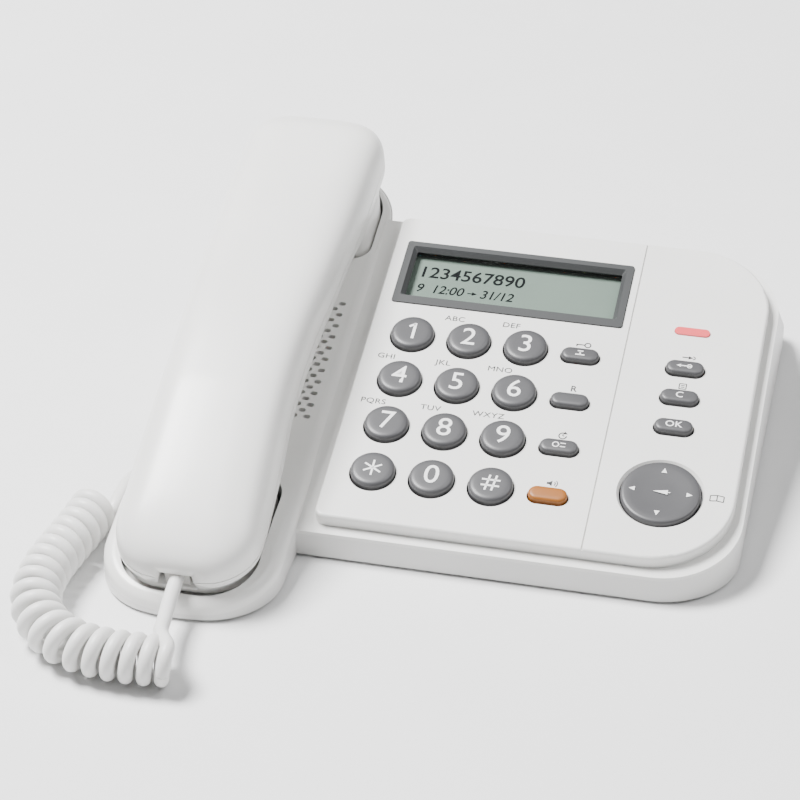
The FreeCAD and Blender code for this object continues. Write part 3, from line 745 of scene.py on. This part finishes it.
def bar(x0: float, y0: float, x1: float, y1: float, width: float) -> List[Point2]:
    """The outline of a straight stroke."""
    dx, dy = x1 - x0, y1 - y0
    size = math.hypot(dx, dy)
    nx, ny = -dy / size * width / 2, dx / size * width / 2
    return [(x0 + nx, y0 + ny), (x0 - nx, y0 - ny), (x1 - nx, y1 - ny), (x1 + nx, y1 + ny)]


def ring(x: float, y: float, radius: float, width: float, start: float = 0,
         turn: float = 360) -> List[List[Point2]]:
    """The strokes of a circle or arc."""
    count = max(6, int(abs(turn) / 20))
    strokes = []
    for k in range(count):
        a = math.radians(start + turn * k / count)
        b = math.radians(start + turn * (k + 1) / count)
        strokes.append([(x + (radius - width / 2) * math.cos(a), y + (radius - width / 2) * math.sin(a)),
                        (x + (radius + width / 2) * math.cos(a), y + (radius + width / 2) * math.sin(a)),
                        (x + (radius + width / 2) * math.cos(b), y + (radius + width / 2) * math.sin(b)),
                        (x + (radius - width / 2) * math.cos(b), y + (radius - width / 2) * math.sin(b))])
    return strokes


def triangle(x: float, y: float, size: float, heading: float) -> List[Point2]:
    """A small solid arrow head that points along heading, in degrees."""
    points = []
    for angle in (0, 130, 230):
        a = math.radians(heading + angle)
        points.append((x + size * math.cos(a), y + size * math.sin(a)))
    return points


@dataclass
class Keys:
    """The round number keys, the oval keys and the navigator disc, with their legends."""

    printer: Printer
    round_radius: float = 7.0
    round_top: float = 2.08
    oval_top: float = 1.78
    navigator_radius: float = 12.3
    oval_size: Point2 = (12.2, 5.6)
    letters: Dict[str, str] = field(default_factory=lambda: {
        "key_2": "ABC", "key_3": "DEF", "key_4": "GHI", "key_5": "JKL", "key_6": "MNO",
        "key_7": "PQRS", "key_8": "TUV", "key_9": "WXYZ"})

    def build(self) -> None:
        """Makes every key."""
        marks = {"key_star": "*", "key_hash": "#"}
        marks.update({f"key_{n}": str(n) for n in range(10)})
        for name, mark in marks.items():
            self._round_key(name, mark)
        for name in ("dial_mode_key", "flash_key", "redial_key", "speaker_key", "log_key", "clear_key",
                     "ok_key"):
            self._oval_key(name)
        self._navigator()

    def _round_key(self, name: str, mark: str) -> None:
        """Makes a round key with its mark and letters.

        Args:
            name: the key's node.
            mark: the digit or sign on it.
        """
        top = self.round_top
        centre = node_centre(name)
        u, v = centre.x, centre.y
        levels = [(-1.2, -3.6), (-1.2, -2.7), (0, -2.7), (0.0, 0.7), (0.12, 1.25), (0.5, 1.72), (1.1, 1.98),
                  (1.9, 2.07), (3.2, top)]
        shape = bmesh.new()
        stack(shape, lambda inset: circle_outline(u, v, self.round_radius - inset), levels)
        cap = new_mesh_object(name + "_cap", shape, KEY_GREY, 35.0)
        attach(cap, name)
        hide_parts(name)
        if mark == "*":
            strokes = [bar(3.1 * math.cos(math.radians(a)), 3.1 * math.sin(math.radians(a)),
                           -3.1 * math.cos(math.radians(a)), -3.1 * math.sin(math.radians(a)), 0.62)
                       for a in (90, 30, 150)]
            self.printer.shapes(name + "_mark", strokes, u, v, top, PRINT_WHITE, name, "key_plastic")
        elif mark == "#":
            strokes = [bar(-1.4, -3.1, -0.6, 3.1, 0.65), bar(0.7, -3.1, 1.5, 3.1, 0.65),
                       bar(-2.9, 1.15, 2.9, 1.15, 0.65), bar(-2.9, -1.15, 2.9, -1.15, 0.65)]
            self.printer.shapes(name + "_mark", strokes, u, v, top, PRINT_WHITE, name, "key_plastic")
        elif mark == "1":
            strokes = [bar(0.5, -3.4, 0.5, 3.4, 0.95), bar(0.5, 3.0, -1.3, 1.75, 0.85)]
            self.printer.shapes(name + "_mark", strokes, u, v, top, PRINT_WHITE, name, "key_plastic")
        else:
            self.printer.text(name + "_mark", mark, u, v, top, 7.2, PRINT_WHITE, name, "key_plastic",
                              bold=0.004)
        if name in self.letters:
            self.printer.text(name + "_letters", self.letters[name], u - 6.4, v + 9.3, 0.0, 2.1, PRINT_GREY,
                              "base", "case_plastic", stretch=1.12)

    def _oval_key(self, name: str) -> None:
        """Makes the oval key of a node, with its marks."""
        centre = node_centre(name)
        u, v = centre.x, centre.y
        finish = KEY_ORANGE if name == "speaker_key" else KEY_GREY
        slot = "orange_key" if name == "speaker_key" else "key_plastic"
        half_u, half_v = self.oval_size[0] / 2, self.oval_size[1] / 2

        def outline(inset: float) -> List[Point2]:
            """The key's outline, smaller by inset."""
            radius = max(0.3, half_v - inset - 0.01)
            return rounded_outline(u - half_u + inset, v - half_v + inset, u + half_u - inset,
                                   v + half_v - inset, [radius] * 4)

        levels = [(-1.1, -3.6), (-1.1, -2.7), (0, -2.7), (0, 0.7), (0.1, 1.15), (0.4, 1.52), (0.85, 1.72),
                  (1.5, self.oval_top)]
        shape = bmesh.new()
        stack(shape, outline, levels)
        cap = new_mesh_object(name + "_cap", shape, finish, 35.0)
        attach(cap, name)
        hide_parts(name)
        self._oval_legend(name, u, v, slot)

    def _oval_legend(self, name: str, u: float, v: float, slot: str) -> None:
        """Prints the mark on an oval key and the sign above it.

        Args:
            name: the key's node.
            u: its middle, across the panel.
            v: its middle, up the panel.
            slot: the key's material slot.
        """
        printer, top, above = self.printer, self.oval_top, 5.3
        on_key: Dict[str, List[List[Point2]]] = {
            "dial_mode_key": [bar(-1.5, -0.7, 1.5, -0.7, 0.45), bar(0, -0.7, 0, 0.3, 0.45),
                              bar(-0.9, 0.9, 0.9, 0.9, 0.45)],
            "redial_key": ring(-1.0, 0, 0.95, 0.35) + [bar(0.4, 0.7, 2.1, 0.7, 0.35),
                                                       bar(0.4, -0.7, 2.1, -0.7, 0.35)],
            "log_key": [bar(-1.9, 0, 1.9, 0, 0.4), triangle(-1.9, 0, 0.85, 180)] + ring(1.4, 0, 0.7, 0.3),
        }
        if name in on_key:
            printer.shapes(name + "_mark", on_key[name], u, v, top, PRINT_WHITE, name, slot)
        if name in ("clear_key", "ok_key"):
            words = "C" if name == "clear_key" else "OK"
            printer.text(name + "_mark", words, u, v, top, 2.3, PRINT_WHITE, name, slot, bold=0.015,
                         stretch=1.1)
        signs: Dict[str, List[List[Point2]]] = {
            "dial_mode_key": [bar(-2.4, 0, 0.3, 0, 0.38), bar(-2.2, 0, -2.2, -0.8, 0.38)]
                             + ring(1.3, 0, 0.95, 0.38),
            "redial_key": ring(0, 0, 1.2, 0.35, 60, 300) + [triangle(0.75, 1.15, 0.75, -20),
                                                            bar(0, 0, 0, 0.7, 0.3), bar(0, 0, 0.5, 0, 0.3)],
            "speaker_key": [[(-1.5, -0.4), (-0.8, -0.4), (0.1, -1.1), (0.1, 1.1), (-0.8, 0.4), (-1.5, 0.4)]]
                           + ring(0.1, 0, 1.0, 0.28, -45, 90) + ring(0.1, 0, 1.7, 0.28, -45, 90),
            "log_key": [bar(-1.9, 0, 0.6, 0, 0.38), triangle(0.7, 0, 0.9, 0)]
                       + ring(1.6, 0, 0.6, 0.3, -100, 200),
            "clear_key": [bar(-1.1, -1.1, 1.1, -1.1, 0.3), bar(-1.1, 1.1, 1.1, 1.1, 0.3),
                          bar(-1.1, -1.1, -1.1, 1.1, 0.3), bar(1.1, -1.1, 1.1, 1.1, 0.3),
                          bar(-0.6, 0.35, 0.6, 0.35, 0.28), bar(-0.6, -0.35, 0.6, -0.35, 0.28)],
        }
        if name in signs:
            printer.shapes(name + "_sign", signs[name], u + 0.3, v + above, 0.0, PRINT_GREY, "base",
                           "case_plastic")
        if name == "flash_key":
            printer.text("flash_key_sign", "R", u + 0.3, v + above + 0.3, 0.0, 2.4, PRINT_GREY, "base",
                         "case_plastic", bold=0.015)

    def _navigator(self) -> None:
        """Makes the navigator disc, its arrows and the sign beside it."""
        centre = node_centre("navigator_key")
        u, v = centre.x, centre.y
        levels = [(0.4, -1.6), (0, -1.2), (0, 0.35), (0.12, 0.75), (0.5, 1.05), (1.2, 1.17), (3.0, 1.12),
                  (5.5, 0.95), (8.5, 0.85)]
        shape = bmesh.new()
        stack(shape, lambda inset: circle_outline(u, v, self.navigator_radius - inset, 64), levels)
        disc = new_mesh_object("navigator_disc", shape, KEY_GREY, 35.0)
        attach(disc, "navigator_key")
        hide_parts("navigator_key")
        marks = [triangle(8.7, 0, 1.15, 0), triangle(-8.7, 0, 1.15, 180), triangle(0, 8.4, 1.15, 90),
                 triangle(0, -8.4, 1.15, 270), [(-2.4, 0.0), (2.2, 0.9), (2.2, -0.9)],
                 bar(2.2, 0, 3.0, 0, 0.3)]
        self.printer.shapes("navigator_marks", marks, u, v, 1.14, PRINT_WHITE, "navigator_key", "key_plastic")
        book = [bar(-2.1, -1.2, 0, -0.9, 0.3), bar(0, -0.9, 2.1, -1.2, 0.3), bar(-2.1, 1.0, 0, 1.3, 0.3),
                bar(0, 1.3, 2.1, 1.0, 0.3), bar(-2.1, -1.2, -2.1, 1.0, 0.3), bar(2.1, -1.2, 2.1, 1.0, 0.3),
                bar(0, -0.9, 0, 1.3, 0.3)]
        self.printer.shapes("book_sign", book, u + 17.2, v + 1.0, 0.0, PRINT_GREY, "base", "case_plastic")


@dataclass
class Display:
    """The characters on the liquid crystal panel."""

    printer: Printer

    def build(self) -> None:
        """Prints two lines of plain digits just above the panel."""
        low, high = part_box("lcd_panel")
        left = PANEL.locate(Vector(low)).x
        middle = node_centre("lcd_panel")
        top = middle.z + 0.9
        upper, lower = middle.y + 3.6, middle.y - 3.8
        style = {"finish": LCD_INK, "body": "base", "slot": "lcd", "align": "LEFT"}
        small = {"height": 3.7, "bold": 0.012, "lean": 0.2, "stretch": 0.95}
        self.printer.text("display_line_1", "1234567890", left + 2.5, upper, top, height=4.9, bold=0.015,
                          lean=0.05, stretch=1.02, **style)
        self.printer.text("display_line_2", "9  12:00", left + 3.0, lower, top, **small, **style)
        arrow = [bar(0, 0, 2.0, 0, 0.4), triangle(2.2, 0, 1.0, 0)]
        self.printer.shapes("display_arrow", arrow, left + 20.5, lower, top, LCD_INK, "base", "lcd")
        self.printer.text("display_date", "31/12", left + 24.6, lower, top, **small, **style)


# ---------------------------------------------------------------------------- the cord
@dataclass
class HandsetCord:
    """The curly cord: a straight tail at each end and a helix between them.

    Places are in millimetres and repeat the route of the CAD tubes.
    """

    wire: float = 4.5
    coil_radius: float = 5.65
    coil_height: float = 8.0
    turn_points: int = 14
    front_tail: Tuple[Point3, ...] = ((-67.2, -93.05, 12.73), (-67.2, -101.79, 10.58), (-66.0, -110.9, 10.5),
                                      (-65.1, -118.8, 12.1))
    axis: Tuple[Point2, ...] = ((-60.2, -125.8), (-67.2, -126.9), (-79.2, -127.0), (-91.2, -124.9),
                                (-101.3, -118.0), (-107.6, -107.6), (-109.2, -95.4), (-107.8, -82.6),
                                (-105.2, -70.2), (-104.0, -57.5))
    side_tail: Tuple[Point3, ...] = ((-98.2, -50.5, 8.6), (-98.0, -41.5, 8.0), (-90.9, -29.5, 8.2),
                                     (-90.9, -20.5, 8.2))

    @staticmethod
    def _trace(points: Sequence[Point3], name: str, resolution: int = 6) -> List[Vector]:
        """Reads points from a smooth spline.

        Args:
            points: its control points, in millimetres.
            name: a name for the curve.
            resolution: how many points each control point gives.

        Returns:
            The points along it, in metres.
        """
        curve = bpy.data.curves.new(name, "CURVE")
        curve.dimensions = "3D"
        curve.resolution_u = resolution
        spline = curve.splines.new("NURBS")
        spline.points.add(len(points) - 1)
        for target, (x, y, z) in zip(spline.points, points):
            target.co = (x * MM, y * MM, z * MM, 1)
        spline.order_u = 3
        spline.use_endpoint_u = True
        holder = bpy.data.objects.new(name, curve)
        bpy.context.scene.collection.objects.link(holder)
        bpy.context.view_layer.update()
        graph = bpy.context.evaluated_depsgraph_get()
        mesh = bpy.data.meshes.new_from_object(holder.evaluated_get(graph))
        line = [v.co.copy() for v in mesh.vertices]
        bpy.data.objects.remove(holder)
        bpy.data.meshes.remove(mesh)
        return line

    def _helix(self) -> List[Point3]:
        """Control points of the turns, a wire's width apart even on the inside of the bend."""
        middle = [(x, y, self.coil_height) for x, y in self.axis]
        line = [p / MM for p in self._trace(middle, "coil_axis", 24)]
        rates, lengths = [], []
        for i in range(1, len(line) - 1):
            before, after = line[i] - line[i - 1], line[i + 1] - line[i]
            step = (before.length + after.length) / 2
            bend = before.angle(after) / step
            pitch = self.wire * 1.01 / (1 - self.coil_radius * bend)
            rates.append(1 / pitch)
            lengths.append(step)
        rates = [rates[0]] + rates + [rates[-1]]
        turns = [0.0]
        for i in range(1, len(line)):
            turns.append(turns[-1] + (line[i] - line[i - 1]).length * (rates[i] + rates[i - 1]) / 2)
        whole = math.floor(turns[-1]) - 0.25
        scale = whole / turns[-1]
        points = []
        count = int(whole * self.turn_points)
        for k in range(count + 1):
            wanted = whole * k / count
            i = min(range(len(turns)), key=lambda n: abs(turns[n] * scale - wanted))
            i = min(max(i, 1), len(line) - 2)
            a, b = (i - 1, i) if turns[i] * scale > wanted else (i, i + 1)
            share = (wanted - turns[a] * scale) / ((turns[b] - turns[a]) * scale)
            centre = line[a].lerp(line[b], min(1.0, max(0.0, share)))
            way = (line[min(i + 1, len(line) - 1)] - line[i - 1]).normalized()
            side = way.cross(Vector((0, 0, 1))).normalized()
            angle = math.pi / 2 + 2 * math.pi * wanted
            grown = self.coil_radius / math.cos(math.pi / self.turn_points) ** 0.5
            spot = centre + side * grown * math.cos(angle) + Vector((0, 0, grown * math.sin(angle)))
            points.append(tuple(spot))
        return points

    def _tube(self, name: str, line: Sequence[Vector], sides: int = 14) -> bpy.types.Object:
        """A round tube without twist.

        Args:
            name: the piece's name.
            line: the points that it follows, in metres.
            sides: how many sides its section has.

        Returns:
            The new object.
        """
        shape = bmesh.new()
        radius = self.wire / 2 * MM
        way = (line[1] - line[0]).normalized()
        side = way.orthogonal().normalized()
        rings = []
        for i, spot in enumerate(line):
            ahead = (line[min(i + 1, len(line) - 1)] - line[max(i - 1, 0)]).normalized()
            side = (way.rotation_difference(ahead) @ side)
            side = (side - ahead * side.dot(ahead)).normalized()
            other = ahead.cross(side)
            way = ahead
            rings.append([shape.verts.new(spot + (side * math.cos(a) + other * math.sin(a)) * radius)
                          for a in (2 * math.pi * k / sides for k in range(sides))])
        for a, b in zip(rings, rings[1:]):
            for k in range(sides):
                j = (k + 1) % sides
                shape.faces.new((a[k], a[j], b[j], b[k]))
        shape.faces.new(list(reversed(rings[0])))
        shape.faces.new(rings[-1])
        return new_mesh_object(name, shape, CORD_WHITE, 60.0)

    @staticmethod
    def _length(line: Sequence[Vector]) -> float:
        """The length of a line of points."""
        return sum((b - a).length for a, b in zip(line, line[1:]))

    def build(self) -> None:
        """Makes the tail by the handset and the coil with its other tail."""
        helix = self._helix()
        line = self._trace([*self.front_tail, *helix, *self.side_tail], "cord_line")
        join = next(i for i, p in enumerate(line) if p.z < self.coil_height * MM and p.y < -0.125)
        front, rest = line[: join + 1], line[join:]
        tail = self._tube("cord_front", front)
        coil = self._tube("cord_coil", rest)
        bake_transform(tail)
        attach(coil, "base")
        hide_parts("cord_tail_front")
        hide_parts("curly_cord", "cord_tail_side")
        LOG.info("cord lengths %.3f and %.3f m", self._length(front), self._length(rest))


# ---------------------------------------------------------------------------- studio
@dataclass
class Studio:
    """The floor, lights and camera."""

    camera_place: Point3 = (0.1377, -0.7084, 0.5139)
    azimuth: float = 12.5355
    elevation: float = 34.141
    lens: float = 122.93
    floor_reach: float = 6.0

    def build(self) -> None:
        """Sets up everything around the telephone."""
        self._floor()
        self._camera()
        self._light("key_light", (-0.9, 0.1, 1.65), 0.7, 128.0)
        self._light("side_fill", (0.95, 0.1, 1.55), 1.2, 20.0)
        world = bpy.data.worlds.new("studio")
        world.use_nodes = True
        back = world.node_tree.nodes["Background"]
        back.inputs["Color"].default_value = (0.95, 0.97, 1.0, 1)
        back.inputs["Strength"].default_value = 0.14
        bpy.context.scene.world = world

    def _floor(self) -> None:
        """Lays the pale floor."""
        shape = bmesh.new()
        reach = self.floor_reach
        corners = [(-reach, -reach, 0), (reach, -reach, 0), (reach, reach, 0), (-reach, reach, 0)]
        shape.faces.new([shape.verts.new(c) for c in corners])
        new_mesh_object("studio_floor", shape, FLOOR)

    def _camera(self) -> None:
        """Sets the camera up."""
        a, e = math.radians(self.azimuth), math.radians(self.elevation)
        look = Vector((-math.sin(a) * math.cos(e), math.cos(a) * math.cos(e), -math.sin(e)))
        data = bpy.data.cameras.new("camera")
        data.lens = self.lens
        data.sensor_width = 36.0
        camera = bpy.data.objects.new("camera", data)
        camera.location = self.camera_place
        camera.rotation_euler = look.to_track_quat("-Z", "Y").to_euler()
        bpy.context.scene.collection.objects.link(camera)
        bpy.context.scene.camera = camera

    @staticmethod
    def _light(name: str, place: Point3, size: float, power: float) -> None:
        """Adds a soft light that faces the telephone.

        Args:
            name: its name.
            place: where it stands, in metres.
            size: its side, in metres.
            power: its power, in watts.
        """
        data = bpy.data.lights.new(name, "AREA")
        data.size = size
        data.energy = power
        light = bpy.data.objects.new(name, data)
        light.location = place
        light.rotation_euler = (Vector((0, 0, 0.03)) - Vector(place)).to_track_quat("-Z", "Y").to_euler()
        bpy.context.scene.collection.objects.link(light)


def dress_nodes() -> None:
    """Gives every CAD node the procedural material of its slot."""
    slots = {part["node"]: part["material_slot"] for part in frame["record"]["subparts"]}
    for name, piece in frame["nodes"].items():
        finish = NODE_FINISHES.get(name, SLOT_FINISHES[slots[name]])
        for slot in piece.material_slots:
            slot.material = PAINT.get(finish)


def main() -> None:
    """Builds the telephone's looks."""
    logging.basicConfig(level=logging.INFO)
    dress_nodes()
    printer = Printer()
    HandsetSkins().build()
    Keys(printer).build()
    Display(printer).build()
    HandsetCord().build()
    Studio().build()


if __name__ == "__main__":
    main()
